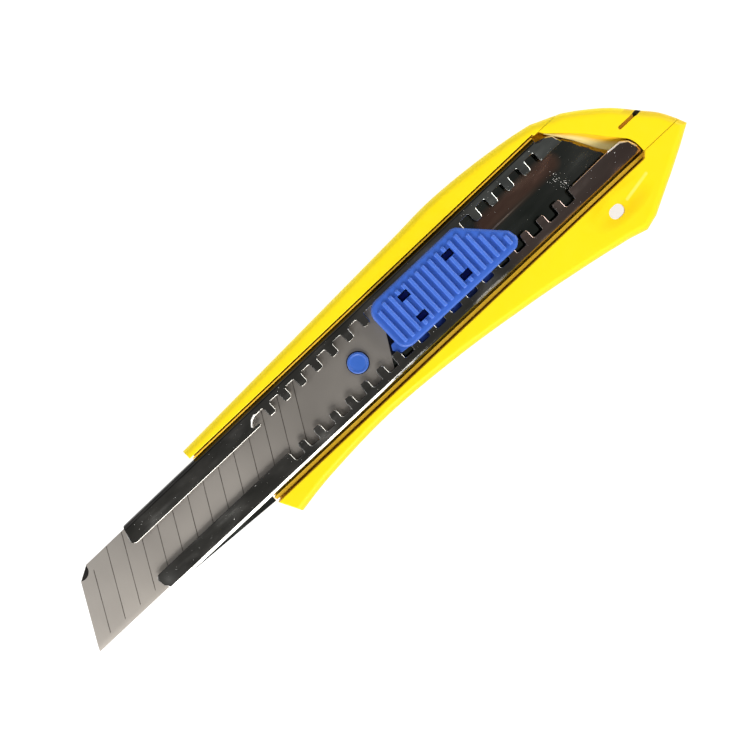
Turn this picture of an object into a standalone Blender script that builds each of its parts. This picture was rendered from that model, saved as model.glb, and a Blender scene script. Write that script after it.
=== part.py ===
"""Utility knife with a snap-off blade: a yellow handle, a folded steel rail, a blue slider and an end cap.

Run it with  blender --background --python part.py  or from Blender's text editor.

All dimensions below are in millimetres. The design frame has x along the knife, from the blade's tip
towards the tail, y across it, measured from the rail's centre line, and z up from the surface that the
handle rests on. The scene's origin is the middle of the knife's outline, on that surface.
"""

import math

import bmesh
import bpy
from mathutils import Vector

MM = 0.001

# Blade: a snap-off blade of the 18 mm class
BLADE_LENGTH = 100.6
BLADE_WIDTH = 18.0
BLADE_THICKNESS = 0.5
BLADE_TIP_X = 1.3
BLADE_EDGE_Y = -8.8
BLADE_Z = 11.0
BLADE_SLANT = math.radians(60)
BEVEL_WIDTH = 1.6
SEGMENT_PITCH = 5.2
SCORE_LINES = 14
FIRST_SCORE_X = 4.45
SCORE_WIDTH = 0.3
SCORE_DEPTH = 0.12
CORNER_NOTCH_RADIUS = 1.7
BLADE_HOLE_RADIUS = 3.0

# Rail: folded steel channel with two lips turned in over the blade
SHEET = 0.45
RAIL_HALF_WIDTH = 9.8
RAIL_BOTTOM = 8.6
RAIL_TOP = 12.8
RAIL_CORNER = 0.7
LIP_INNER_UPPER = 4.55
LIP_INNER_LOWER = -4.65
RAIL_NOSE = [(28.0, 9.8), (26.5, 4.7), (25.6, 0.0), (24.7, -4.7), (25.2, -7.4), (26.5, -9.8)]
RAIL_TAIL = [
    (163.3, 9.8),
    (163.3, 8.7),
    (167.0, 7.1),
    (167.6, 6.0),
    (169.8, 3.0),
    (173.6, -4.4),
    (177.9, -4.7),
    (179.5, -6.0),
    (180.2, -8.2),
    (180.1, -9.8),
]

# Tapered flange of the floor, ahead of the handle
RAIL_FLANGE = [(27.4, -9.0), (27.4, -9.85), (59.0, -11.5), (59.0, -9.0)]
RAIL_FLANGE_Z = (8.7, 8.95)

# Notches in the lips, one every segment pitch, with a tooth between each two
NOTCH_PITCH = 5.2
NOTCH_WIDTH = 2.9
NOTCH_COUNT = 17
FIRST_NOTCH_X = 76.65
NOTCH_OUTER_UPPER = 7.3
NOTCH_OUTER_LOWER = -7.4
# The foremost notch is shorter, and in the upper lip it widens forwards over a short tooth
FOREMOST_NOTCH = (70.2, 73.0)
HOOK = [(68.0, 5.4), (68.3, 6.1), (69.1, 6.8), (70.4, 7.3), (71.5, 7.3), (71.5, 5.4)]

# Handle: two shells that meet at the parting plane, with a trough for the rail
PARTING_Z = 6.0
PARTING_GAP = 0.3
HANDLE_TOP = 14.0
TROUGH_FLOOR_Z = 7.3
TROUGH_UPPER_Y = 10.75
TROUGH_LOWER_Y = -11.65
WALL = 2.0
FRONT_EDGE = [(51.6, 13.0), (51.6, 9.0), (59.8, -11.8), (62.8, -17.5)]
LOWER_EDGE = [
    (62.8, -17.5),
    (74.5, -15.8),
    (94.1, -14.7),
    (115.9, -15.9),
    (137.3, -18.5),
    (153.3, -21.1),
    (165.0, -23.4),
]
HEEL = [(168.9, -24.6), (172.7, -23.5)]
TAIL_EDGE = [(175.4, -22.0), (178.6, -20.3), (183.0, -17.9), (188.8, -14.6)]
TAIL_TIP = (192.3, -12.4)
REAR_EDGE = [(191.3, -10.0), (189.1, -6.1), (186.2, -2.7), (181.5, 2.6), (176.2, 6.9), (171.4, 10.1)]
UPPER_EDGE = [
    (165.2, 12.6),
    (158.2, 13.9),
    (146.4, 15.3),
    (134.8, 15.9),
    (122.9, 15.4),
    (98.9, 14.6),
    (74.7, 13.8),
    (51.6, 13.0),
]
CURVE_STEPS = 4
FRONT_EDGE_SHARE = 0.3
# Height above the table, and how far the wall has drawn in there
SHELL_PROFILE = [(6.15, 0.1), (9.0, 0.0), (11.6, 0.0), (12.9, 0.4), (13.6, 1.0), (14.0, 2.0)]
BACK_PROFILE = [(0.0, 2.2), (0.4, 1.3), (1.2, 0.6), (2.8, 0.15), (5.85, 0.1)]
# Stiffening ribs inside the back shell: x, and the two ends in y
BACK_RIBS = [(74.0, -14.6, 12.6), (98.0, -13.6, 13.4), (122.0, -15.2, 14.1), (146.0, -18.7, 14.1)]
BACK_RIB_WIDTH = 1.2

# Lanyard hole in the handle's heel, in a scooped hollow
LANYARD_X = 166.2
LANYARD_Y = -16.2
LANYARD_LENGTH = 3.8
LANYARD_WIDTH = 2.9
LANYARD_BOSS_RADIUS = 4.4
SCOOP_CENTRE = (168.4, -16.3, 15.4)
SCOOP_SIZE = (11.2, 4.4, 3.4)

# Liner: thin U-shaped tray that carries the rail in the trough
LINER_UPPER_Y = (10.05, 10.5)
LINER_LOWER_Y = (-11.25, -10.1)
LINER_BOTTOM = 7.6
LINER_FLOOR = 0.7
LINER_TOP = 12.6
LINER_FRONT_UPPER = 52.2
LINER_FRONT_LOWER = 59.8

# End cap, which is also the tool that snaps a blade segment off
CAP_GAP = 0.2
CAP_BOTTOM = 7.6
CAP_UPPER_Y = 10.1
CAP_LOWER_Y = -10.3
CAP_UPPER_X = 164.0
CAP_LOWER_X = 180.4
CAP_FRONT = [
    (166.2, 9.9),
    (166.3, 8.6),
    (168.4, 6.4),
    (172.0, 3.1),
    (175.6, -1.3),
    (177.9, -3.9),
    (179.9, -5.4),
    (180.8, -7.6),
    (181.0, -10.1),
]
SNAP_SLOT_Y = -2.3
SNAP_SLOT_X = 179.3
SNAP_SLOT_WIDTH = 1.0

# Slider: a carrier inside the rail, a thumb pad above it and a steel detent spring between them
STUD_X = 97.2
STUD_Y = -0.5
STUD_RADIUS = 2.7
STUD_TOP = 12.4
CARRIER_BOTTOM = 9.4
TONGUE_TOP = 10.7
CARRIER_TOP = 12.0
TONGUE_HALF_WIDTH = 5.0
CARRIER_OUTLINE = [
    (109.6, -9.05),
    (136.8, -9.05),
    (137.2, -6.2),
    (142.3, -4.6),
    (142.3, -4.0),
    (132.3, 9.05),
    (114.3, 9.05),
    (108.2, -2.7),
    (106.0, -2.8),
    (105.3, -4.1),
    (106.6, -5.9),
    (109.2, -6.1),
]
NECK_BOTTOM = 11.9
NECK_TOP = 13.0
NECK_FRONT_X = 109.8
NECK_REAR_X = 140.2
NECK_LOWER_Y = -4.0
NECK_UPPER_Y = 4.4
PAD_OUTLINE = [
    (107.1, 5.6),
    (107.1, -4.2),
    (109.2, -6.2),
    (143.8, -6.2),
    (145.2, -4.2),
    (144.3, -1.3),
    (135.4, 7.6),
    (109.2, 7.6),
]
PAD_BOTTOM = 13.3
PAD_TOP = 15.5
RIB_TOP = 16.2
RIB_PITCH = 2.1
RIB_WIDTH = 0.95
RIB_COUNT = 17
FIRST_RIB_X = 109.5
RIB_LOWER_Y = -4.6
RIB_UPPER_Y = 6.1
CLIP_HOLE_X = (116.4, 130.45)
CLIP_HOLE_Y = (-2.6, 3.8)
CLIP_HOLE_LENGTH = 2.85
CLIP_HOLE_WIDTH = 1.8
CLIP_CLEARANCE = 0.3
CLIP_TOP = 14.9

# Detent spring: a steel leaf with one ear in a notch on each side
DETENT_X = 128.65
LEAF_HALF_LENGTH = 3.0
LEAF_THICKNESS = 0.3
LEAF_Z = 11.4
LEAF_HALF_WIDTH = 8.6
EAR_HALF_LENGTH = 0.95
EAR_TOP = 12.7
EAR_UPPER_Y = (5.2, 7.0)
EAR_LOWER_Y = (-6.9, -5.1)
DETENT_POCKET_BOTTOM = 10.2

# The scene's origin in the design frame
MIDDLE_X = 96.8
MIDDLE_Y = -4.35
CENTRE = Vector((MIDDLE_X, MIDDLE_Y, 0.0))


# ---------------------------------------------------------------- scene helpers


def clear_scene():
    """Removes every object that the scene starts with."""
    for obj in list(bpy.data.objects):
        bpy.data.objects.remove(obj, do_unlink=True)


def plastic(name, colour, roughness):
    """A plastic material."""
    return finish(name, colour, roughness, 0.0)


def finish(name, colour, roughness, metallic):
    """A material with one Principled BSDF."""
    material = bpy.data.materials.new(name)
    material.use_nodes = True
    shader = material.node_tree.nodes["Principled BSDF"]
    shader.inputs["Base Color"].default_value = (*colour, 1.0)
    shader.inputs["Roughness"].default_value = roughness
    shader.inputs["Metallic"].default_value = metallic
    return material


def group_frame(name, x, y, z):
    """An empty that holds one moving group, at a point of the design frame."""
    empty = bpy.data.objects.new(name, None)
    empty.empty_display_size = 0.01
    empty.location = (Vector((x, y, z)) - CENTRE) * MM
    bpy.context.scene.collection.objects.link(empty)
    return empty


def add_object(name, bm, frame, material=None):
    """Makes an object from a mesh drawn in the design frame, with its origin on its group's frame."""
    origin = frame.location / MM + CENTRE
    bmesh.ops.recalc_face_normals(bm, faces=bm.faces)
    for vertex in bm.verts:
        vertex.co = (vertex.co - origin) * MM
    mesh = bpy.data.meshes.new(name)
    bm.to_mesh(mesh)
    bm.free()
    obj = bpy.data.objects.new(name, mesh)
    obj.parent = frame
    bpy.context.scene.collection.objects.link(obj)
    if material is not None:
        mesh.materials.append(material)
        mesh.shade_smooth()
        mesh.set_sharp_from_angle(angle=math.radians(35))
    return obj


def combine(obj, name, bm, frame, operation):
    """Cuts a helper mesh from an object, or joins it on, with an exact Boolean."""
    helper = add_object(f"{obj.name}_{name}", bm, frame)
    helper.hide_render = True
    helper.display_type = "WIRE"
    modifier = obj.modifiers.new(name, "BOOLEAN")
    modifier.operation = operation
    modifier.solver = "EXACT"
    modifier.object = helper


def cut(obj, name, bm, frame):
    """Takes a helper mesh away from an object."""
    combine(obj, name, bm, frame, "DIFFERENCE")


def join(obj, name, bm, frame):
    """Adds a helper mesh to an object."""
    combine(obj, name, bm, frame, "UNION")


# ---------------------------------------------------------------- shape helpers


def curve_through(points, steps=CURVE_STEPS):
    """Points along a smooth curve through the given ones, without the last."""
    ends = [points[0]] + list(points) + [points[-1]]
    found = []
    for before, start, end, after in zip(ends, ends[1:], ends[2:], ends[3:]):
        for step in range(steps):
            t = step / steps
            found.append(
                tuple(
                    0.5
                    * (
                        2 * b
                        + (c - a) * t
                        + (2 * a - 5 * b + 4 * c - d) * t * t
                        + (3 * b - 3 * c + d - a) * t**3
                    )
                    for a, b, c, d in zip(before, start, end, after)
                )
            )
    return found


def handle_outline():
    """The handle's outline seen from above, anticlockwise."""
    outline = curve_through(LOWER_EDGE)
    outline += HEEL + curve_through(TAIL_EDGE) + [TAIL_TIP]
    outline += curve_through(REAR_EDGE) + curve_through(UPPER_EDGE)
    return outline + FRONT_EDGE[:-1]


def inset(outline, distance, front_share=FRONT_EDGE_SHARE):
    """The outline drawn in by a distance. Only a share of it is taken from the square front end."""
    front = {tuple(point) for point in FRONT_EDGE}
    found = []
    for i, point in enumerate(outline):
        before, after = outline[i - 1], outline[(i + 1) % len(outline)]
        arriving = (Vector(point) - Vector(before)).normalized()
        leaving = (Vector(after) - Vector(point)).normalized()
        first = Vector((-arriving.y, arriving.x))
        second = Vector((-leaving.y, leaving.x))
        near = distance * (front_share if {tuple(before), tuple(point)} <= front else 1.0)
        far = distance * (front_share if {tuple(point), tuple(after)} <= front else 1.0)
        cross = first.x * second.y - first.y * second.x
        if abs(cross) < 0.05:
            found.append(tuple(Vector(point) + (first * near + second * far) / 2))
            continue
        found.append(
            (
                point[0] + (near * second.y - far * first.y) / cross,
                point[1] + (far * first.x - near * second.x) / cross,
            )
        )
    return found


def loft(outline, profile, front_share=FRONT_EDGE_SHARE):
    """A closed body of the outline, drawn in at each height as the profile says."""
    bm = bmesh.new()
    rings = []
    for z, distance in profile:
        rings.append([bm.verts.new((x, y, z)) for x, y in inset(outline, distance, front_share)])
    for lower, upper in zip(rings, rings[1:]):
        for i in range(len(outline)):
            j = (i + 1) % len(outline)
            bm.faces.new((lower[i], lower[j], upper[j], upper[i]))
    bm.faces.new(list(reversed(rings[0])))
    bm.faces.new(rings[-1])
    return bm


def prism(outline, low, high):
    """The outline extruded from one height to another."""
    return loft(outline, [(low, 0.0), (high, 0.0)])


def box(low, high):
    """A box between two corners."""
    outline = [(low[0], low[1]), (high[0], low[1]), (high[0], high[1]), (low[0], high[1])]
    return prism(outline, low[2], high[2])


def boxes(corners):
    """Several separate boxes in one mesh."""
    bm = bmesh.new()
    for low, high in corners:
        part = box(low, high)
        mesh = bpy.data.meshes.new("box")
        part.to_mesh(mesh)
        part.free()
        bm.from_mesh(mesh)
        bpy.data.meshes.remove(mesh)
    return bm


def circle(x, y, radius, count):
    """Points round a circle, anticlockwise."""
    turns = [2 * math.pi * i / count for i in range(count)]
    return [(x + radius * math.cos(t), y + radius * math.sin(t)) for t in turns]


def slot_outline(x, y, length, width, count=8):
    """A slot with round ends along x, anticlockwise."""
    radius = width / 2
    reach = length / 2 - radius
    found = []
    for centre, start in ((x + reach, -math.pi / 2), (x - reach, math.pi / 2)):
        for i in range(count + 1):
            turn = start + math.pi * i / count
            found.append((centre + radius * math.cos(turn), y + radius * math.sin(turn)))
    return found


def rounded(outline, radius, count=3):
    """The outline with its corners rounded."""
    found = []
    for i, point in enumerate(outline):
        here = Vector(point)
        before = Vector(outline[i - 1]) - here
        after = Vector(outline[(i + 1) % len(outline)]) - here
        reach = min(radius, before.length * 0.45, after.length * 0.45)
        start = here + before.normalized() * reach
        end = here + after.normalized() * reach
        for step in range(count + 1):
            t = step / count
            found.append(tuple(start * (1 - t) ** 2 + here * 2 * t * (1 - t) + end * t * t))
    return found


# ---------------------------------------------------------------- handle


def make_handle_shell(frame, material):
    """The upper shell, with the trough for the rail and the seat for the end cap."""
    shell = add_object("handle_shell", loft(handle_outline(), SHELL_PROFILE), frame, material)
    above = HANDLE_TOP + 5
    trough = [
        (40.0, TROUGH_LOWER_Y),
        (CAP_LOWER_X - 1.2, TROUGH_LOWER_Y),
        (CAP_LOWER_X - 0.3, CAP_LOWER_Y - 0.8),
        (CAP_LOWER_X, CAP_LOWER_Y),
        (200.0, CAP_LOWER_Y),
        (200.0, CAP_UPPER_Y),
        (CAP_UPPER_X, CAP_UPPER_Y),
        (CAP_UPPER_X, TROUGH_UPPER_Y - 0.4),
        (CAP_UPPER_X - 0.4, TROUGH_UPPER_Y),
        (40.0, TROUGH_UPPER_Y),
    ]
    cut(shell, "trough", prism(trough, TROUGH_FLOOR_Z, above), frame)
    cut(shell, "scoop", scoop(), frame)
    hole = slot_outline(LANYARD_X, LANYARD_Y, LANYARD_LENGTH, LANYARD_WIDTH)
    cut(shell, "lanyard_hole", prism(hole, -1.0, above), frame)
    return shell


def scoop():
    """The shallow hollow round the lanyard hole."""
    bm = bmesh.new()
    bmesh.ops.create_uvsphere(bm, u_segments=20, v_segments=12, radius=1.0)
    bmesh.ops.scale(bm, vec=SCOOP_SIZE, verts=bm.verts)
    bmesh.ops.translate(bm, vec=SCOOP_CENTRE, verts=bm.verts)
    return bm


def make_handle_back(frame, material):
    """The lower shell: a tray whose underside is the face that the knife rests on."""
    outline = handle_outline()
    back = add_object("handle_back", loft(outline, BACK_PROFILE), frame, material)
    hollow = loft(outline, [(WALL, WALL + 0.4), (PARTING_Z + 1.0, WALL)], 1.0)
    cut(back, "hollow", hollow, frame)
    boss = prism(circle(LANYARD_X, LANYARD_Y, LANYARD_BOSS_RADIUS, 20), 1.0, PARTING_Z - PARTING_GAP / 2)
    join(back, "lanyard_boss", boss, frame)
    ribs = []
    for x, low, high in BACK_RIBS:
        ribs.append(((x, low, 1.0), (x + BACK_RIB_WIDTH, high, PARTING_Z - PARTING_GAP / 2)))
    join(back, "ribs", boxes(ribs), frame)
    hole = slot_outline(LANYARD_X, LANYARD_Y, LANYARD_LENGTH, LANYARD_WIDTH)
    cut(back, "lanyard_hole", prism(hole, -1.0, HANDLE_TOP), frame)
    return back


def make_rail_liner(frame, material):
    """The thin tray between the rail and the trough; its two walls show beside the rail."""
    outline = [
        (LINER_FRONT_UPPER, LINER_UPPER_Y[1]),
        (LINER_FRONT_LOWER, LINER_LOWER_Y[0]),
        (CAP_LOWER_X - 2.4, LINER_LOWER_Y[0]),
        (CAP_LOWER_X - 2.4, -5.6),
        (CAP_UPPER_X + 1.8, 8.4),
        (CAP_UPPER_X - 0.6, 9.9),
        (CAP_UPPER_X - 0.6, LINER_UPPER_Y[1]),
    ]
    liner = add_object("rail_liner", prism(outline, LINER_BOTTOM, LINER_TOP), frame, material)
    floor = LINER_BOTTOM + LINER_FLOOR
    inside = [
        (40.0, LINER_LOWER_Y[1]),
        (CAP_LOWER_X + 5.0, LINER_LOWER_Y[1]),
        (CAP_LOWER_X + 5.0, LINER_UPPER_Y[0]),
        (40.0, LINER_UPPER_Y[0]),
    ]
    cut(liner, "inside", prism(inside, floor, HANDLE_TOP), frame)
    return liner


# ---------------------------------------------------------------- rail


def make_rail(frame, material):
    """The folded channel: floor, two walls and two notched lips."""
    low, high = RAIL_BOTTOM, RAIL_TOP
    half, corner = RAIL_HALF_WIDTH, RAIL_CORNER
    rail = add_object("rail", section_bar(half, low, high, corner), frame, material)
    inner = section_bar(half - SHEET, low + SHEET, high - SHEET, corner - 0.3)
    cut(rail, "inside", inner, frame)
    slot = box((0.0, LIP_INNER_LOWER, high - 1.5), (200.0, LIP_INNER_UPPER, high + 1.0))
    cut(rail, "slot", slot, frame)
    cut(rail, "notches", notches(), frame)
    cut(rail, "hook", prism(HOOK, high - 1.2, high + 1.0), frame)
    nose = RAIL_NOSE + [(26.5, -15.0), (10.0, -15.0), (10.0, 15.0), (28.0, 15.0)]
    cut(rail, "nose", prism(nose, low - 1.0, high + 1.0), frame)
    tail = RAIL_TAIL + [(180.1, -15.0), (200.0, -15.0), (200.0, 15.0), (163.3, 15.0)]
    cut(rail, "tail", prism(tail, low - 1.0, high + 1.0), frame)
    join(rail, "flange", prism(RAIL_FLANGE, *RAIL_FLANGE_Z), frame)
    return rail


def section_bar(half, low, high, corner):
    """A bar along x of a rounded rectangular section."""
    section = rounded([(-half, low), (half, low), (half, high), (-half, high)], corner)
    bm = bmesh.new()
    ends = [[bm.verts.new((x, y, z)) for y, z in section] for x in (20.0, 180.0)]
    for i in range(len(section)):
        j = (i + 1) % len(section)
        bm.faces.new((ends[0][i], ends[0][j], ends[1][j], ends[1][i]))
    bm.faces.new(ends[0])
    bm.faces.new(list(reversed(ends[1])))
    return bm


def notches():
    """The notches of both lips, each a box that also opens into the slot."""
    spans = [FOREMOST_NOTCH]
    for i in range(NOTCH_COUNT):
        middle = FIRST_NOTCH_X + i * NOTCH_PITCH
        spans.append((middle - NOTCH_WIDTH / 2, middle + NOTCH_WIDTH / 2))
    low, high = RAIL_TOP - 1.2, RAIL_TOP + 1.0
    corners = []
    for front, rear in spans:
        corners.append(((front, NOTCH_OUTER_LOWER, low), (rear, NOTCH_OUTER_UPPER, high)))
    return boxes(corners)


# ---------------------------------------------------------------- blade


def make_blade(frame, material):
    """The blade: slanted ends, a ground edge, score lines, a hole and a notched front corner."""
    low, high = BLADE_EDGE_Y, BLADE_EDGE_Y + BLADE_WIDTH
    lean = BLADE_WIDTH / math.tan(BLADE_SLANT)
    tip, rear = BLADE_TIP_X, BLADE_TIP_X + BLADE_LENGTH
    bottom, top = BLADE_Z, BLADE_Z + BLADE_THICKNESS
    outline = [(tip, low), (rear, low), (rear + lean, high), (tip + lean, high)]
    blade = add_object("blade", prism(outline, bottom, top), frame, material)
    middle = (bottom + top) / 2
    cut(blade, "grind_top", edge_wedge(top, middle), frame)
    cut(blade, "grind_bottom", edge_wedge(bottom, middle), frame)
    cut(blade, "scores", score_lines(top), frame)
    hole = circle(STUD_X, STUD_Y, BLADE_HOLE_RADIUS, 28)
    cut(blade, "hole", prism(hole, bottom - 1.0, top + 1.0), frame)
    notch = circle(tip + lean + 0.1, high - 0.3, CORNER_NOTCH_RADIUS, 20)
    cut(blade, "corner_notch", prism(notch, bottom - 1.0, top + 1.0), frame)
    return blade


def edge_wedge(face, middle):
    """The metal that grinding takes from one side of the cutting edge."""
    low = BLADE_EDGE_Y
    outward = 1.0 if face > middle else -1.0
    edge_half = 0.03 * outward
    section = [
        (low - 0.2, middle + edge_half),
        (low, middle + edge_half),
        (low + BEVEL_WIDTH, face),
        (low + BEVEL_WIDTH, face + outward),
        (low - 0.2, face + outward),
    ]
    bm = bmesh.new()
    ends = [[bm.verts.new((x, y, z)) for y, z in section] for x in (-5.0, 120.0)]
    for i in range(len(section)):
        j = (i + 1) % len(section)
        bm.faces.new((ends[0][i], ends[0][j], ends[1][j], ends[1][i]))
    bm.faces.new(ends[0])
    bm.faces.new(list(reversed(ends[1])))
    return bm


def score_lines(top):
    """Grooves across the blade, parallel to its slanted front."""
    lean = BLADE_WIDTH / math.tan(BLADE_SLANT)
    low, high = BLADE_EDGE_Y - 0.6, BLADE_EDGE_Y + BLADE_WIDTH + 0.6
    overrun = 0.6 / math.tan(BLADE_SLANT)
    bm = bmesh.new()
    for i in range(SCORE_LINES):
        x = BLADE_TIP_X + FIRST_SCORE_X + i * SEGMENT_PITCH
        half = SCORE_WIDTH / 2
        start = x - overrun
        near = [(start - half, top + 0.05), (start, top - SCORE_DEPTH), (start + half, top + 0.05)]
        shift = lean + 2 * overrun
        far = [(px + shift, pz) for px, pz in near]
        front = [bm.verts.new((px, low, pz)) for px, pz in near]
        back = [bm.verts.new((px, high, pz)) for px, pz in far]
        for a in range(3):
            b = (a + 1) % 3
            bm.faces.new((front[a], front[b], back[b], back[a]))
        bm.faces.new(list(reversed(front)))
        bm.faces.new(back)
    return bm


# ---------------------------------------------------------------- slider


def make_blade_carrier(frame, material):
    """The slider's lower half: it runs inside the rail, and its stud holds the blade."""
    body = prism(CARRIER_OUTLINE, CARRIER_BOTTOM, CARRIER_TOP)
    carrier = add_object("blade_carrier", body, frame, material)
    tongue = [
        (STUD_X - 5.0, 0.0),
        (STUD_X - 3.6, -3.0),
        (STUD_X + 1.0, -TONGUE_HALF_WIDTH),
        (STUD_X + 20.0, -TONGUE_HALF_WIDTH),
        (STUD_X + 20.0, TONGUE_HALF_WIDTH),
        (STUD_X + 1.0, TONGUE_HALF_WIDTH),
        (STUD_X - 3.6, 3.0),
    ]
    join(carrier, "tongue", prism(tongue, CARRIER_BOTTOM, TONGUE_TOP), frame)
    stud = prism(circle(STUD_X, STUD_Y, STUD_RADIUS, 28), CARRIER_BOTTOM + 0.5, STUD_TOP)
    join(carrier, "stud", stud, frame)
    x, reach = DETENT_X, LEAF_HALF_LENGTH + 0.4
    pocket = box((x - reach, -12.0, DETENT_POCKET_BOTTOM), (x + reach, 12.0, CARRIER_TOP + 1.0))
    cut(carrier, "detent_pocket", pocket, frame)
    neck = [
        (NECK_FRONT_X, NECK_LOWER_Y),
        (NECK_REAR_X, NECK_LOWER_Y),
        (NECK_REAR_X - 5.0, NECK_UPPER_Y),
        (NECK_FRONT_X + 4.0, NECK_UPPER_Y),
    ]
    join(carrier, "neck", prism(neck, NECK_BOTTOM, NECK_TOP), frame)
    join(carrier, "clips", boxes(clip_posts()), frame)
    return carrier


def clip_posts():
    """Four posts that stand up from the neck into the pad's holes."""
    length = CLIP_HOLE_LENGTH / 2 - CLIP_CLEARANCE
    width = CLIP_HOLE_WIDTH / 2 - CLIP_CLEARANCE
    corners = []
    for x in CLIP_HOLE_X:
        for y in CLIP_HOLE_Y:
            corners.append(((x - length, y - width, 12.5), (x + length, y + width, CLIP_TOP)))
    return corners


def make_thumb_pad(frame, material):
    """The ribbed pad that the thumb pushes, clipped on the carrier through four holes."""
    outline = rounded(PAD_OUTLINE, 1.6)
    profile = [(PAD_BOTTOM, 0.1), (PAD_BOTTOM + 0.4, 0.0), (PAD_TOP - 0.4, 0.0), (PAD_TOP, 0.35)]
    pad = add_object("thumb_pad", loft(outline, profile), frame, material)
    join(pad, "ribs", boxes(pad_ribs()), frame)
    holes = []
    for x in CLIP_HOLE_X:
        for y in CLIP_HOLE_Y:
            length, width = CLIP_HOLE_LENGTH / 2, CLIP_HOLE_WIDTH / 2
            holes.append(((x - length, y - width, 10.0), (x + length, y + width, 20.0)))
    cut(pad, "clip_holes", boxes(holes), frame)
    return pad


def pad_ribs():
    """The cross ribs, the last of them shortened to stay inside the slanted rear end."""
    slant_start, slant_end = Vector(PAD_OUTLINE[6]), Vector(PAD_OUTLINE[5])
    corners = []
    for i in range(RIB_COUNT):
        x = FIRST_RIB_X + i * RIB_PITCH
        reach = (slant_end.x - x - RIB_WIDTH) / (slant_end.x - slant_start.x)
        limit = slant_end.y + (slant_start.y - slant_end.y) * reach - 0.6
        low = (x - RIB_WIDTH / 2, RIB_LOWER_Y, 15.0)
        high = (x + RIB_WIDTH / 2, min(RIB_UPPER_Y, limit), RIB_TOP)
        corners.append((low, high))
    return corners


def make_detent_spring(frame, material):
    """A leaf across the carrier with an ear at each side that stands up into a notch."""
    x, half = DETENT_X, LEAF_HALF_LENGTH
    top = LEAF_Z + LEAF_THICKNESS
    leaf = box((x - half, -LEAF_HALF_WIDTH, LEAF_Z), (x + half, LEAF_HALF_WIDTH, top))
    spring = add_object("detent_spring", leaf, frame, material)
    ears = []
    for low, high in (EAR_LOWER_Y, EAR_UPPER_Y):
        ears.append(((x - EAR_HALF_LENGTH, low, LEAF_Z + 0.1), (x + EAR_HALF_LENGTH, high, EAR_TOP)))
    join(spring, "ears", boxes(ears), frame)
    return spring


# ---------------------------------------------------------------- end cap


def make_end_cap(frame, material):
    """The cap that closes the tail. Its slot snaps off a worn blade segment."""
    profile = [(CAP_BOTTOM, 0.1)] + SHELL_PROFILE[1:]
    cap = add_object("end_cap", loft(handle_outline(), profile), frame, material)
    ahead = list(reversed(CAP_FRONT)) + [
        (CAP_FRONT[0][0], 40.0),
        (20.0, 40.0),
        (20.0, -40.0),
        (CAP_FRONT[-1][0], -40.0),
    ]
    above = HANDLE_TOP + 5
    cut(cap, "front", prism(ahead, 0.0, above), frame)
    upper = box((20.0, CAP_UPPER_Y - CAP_GAP, 0.0), (200.0, 40.0, above))
    cut(cap, "upper_side", upper, frame)
    lower = box((20.0, -40.0, 0.0), (200.0, CAP_LOWER_Y + CAP_GAP, above))
    cut(cap, "lower_side", lower, frame)
    slot = slot_outline(SNAP_SLOT_X + 15.0, SNAP_SLOT_Y, 30.0, SNAP_SLOT_WIDTH)
    cut(cap, "snap_slot", prism(slot, 0.0, above), frame)
    return cap


# ---------------------------------------------------------------- assembly


def main():
    """Builds the knife, one object for each of its pieces."""
    clear_scene()
    yellow = plastic("yellow_plastic", (0.98, 0.80, 0.01), 0.32)
    blue = plastic("blue_plastic", (0.05, 0.12, 0.62), 0.38)
    chrome = finish("polished_steel", (0.55, 0.54, 0.52), 0.12, 1.0)
    blade_steel = finish("ground_steel", (0.42, 0.40, 0.37), 0.34, 1.0)
    spring_steel = finish("spring_steel", (0.50, 0.50, 0.50), 0.25, 1.0)
    handle = group_frame("handle_frame", *CENTRE)
    slider = group_frame("slider_frame", STUD_X, 0.0, CARRIER_BOTTOM)
    detent = group_frame("detent_frame", DETENT_X, 0.0, LEAF_Z)
    cap = group_frame("cap_frame", CAP_LOWER_X, 0.0, CAP_BOTTOM)
    make_handle_shell(handle, yellow)
    make_handle_back(handle, yellow)
    make_rail_liner(handle, yellow)
    make_rail(handle, chrome)
    make_end_cap(cap, yellow)
    make_blade(slider, blade_steel)
    make_blade_carrier(slider, blue)
    make_thumb_pad(slider, blue)
    make_detent_spring(detent, spring_steel)


main()
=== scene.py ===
import math

import bmesh
import bpy
from mathutils import Matrix, Vector


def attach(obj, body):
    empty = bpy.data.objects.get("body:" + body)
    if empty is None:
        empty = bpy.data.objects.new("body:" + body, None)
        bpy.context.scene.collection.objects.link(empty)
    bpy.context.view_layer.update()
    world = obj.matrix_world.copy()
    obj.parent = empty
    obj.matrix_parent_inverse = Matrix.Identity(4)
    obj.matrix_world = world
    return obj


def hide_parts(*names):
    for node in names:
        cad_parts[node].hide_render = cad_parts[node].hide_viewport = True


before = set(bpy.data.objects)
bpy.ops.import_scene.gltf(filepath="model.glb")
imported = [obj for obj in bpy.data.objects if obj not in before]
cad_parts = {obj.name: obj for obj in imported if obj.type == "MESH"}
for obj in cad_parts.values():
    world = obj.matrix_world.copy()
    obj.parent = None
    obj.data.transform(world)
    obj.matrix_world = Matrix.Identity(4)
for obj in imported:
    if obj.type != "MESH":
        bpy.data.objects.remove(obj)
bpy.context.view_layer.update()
scene = bpy.context.scene

MM = 0.001
# Everything is drawn in the design frame, in mm: x from near the blade's tip, y from the rail's centre line
# and z up from the table. This is the row frame's origin in it.
CENTRE = Vector((96.8, -4.35, 0.0))
# One step of the rail's notches and one segment of the blade
PITCH = 5.2
# A height clear of the whole knife, where the cutters end
CLEAR = 20.0

# Handle and cap
HANDLE_TOP = 14.0
TROUGH_FLOOR = 7.3
TROUGH_LOWER_Y = -11.6
TROUGH_UPPER_Y = 10.6
CAP_LOWER_Y = -10.14
CAP_UPPER_Y = 9.96
SNAP_SLOT_Y = -2.35
SNAP_SLOT_WIDTH = 0.86
LANYARD_HOLE = (166.2, -16.2)
HOLLOW_DEPTH = 0.6

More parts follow.
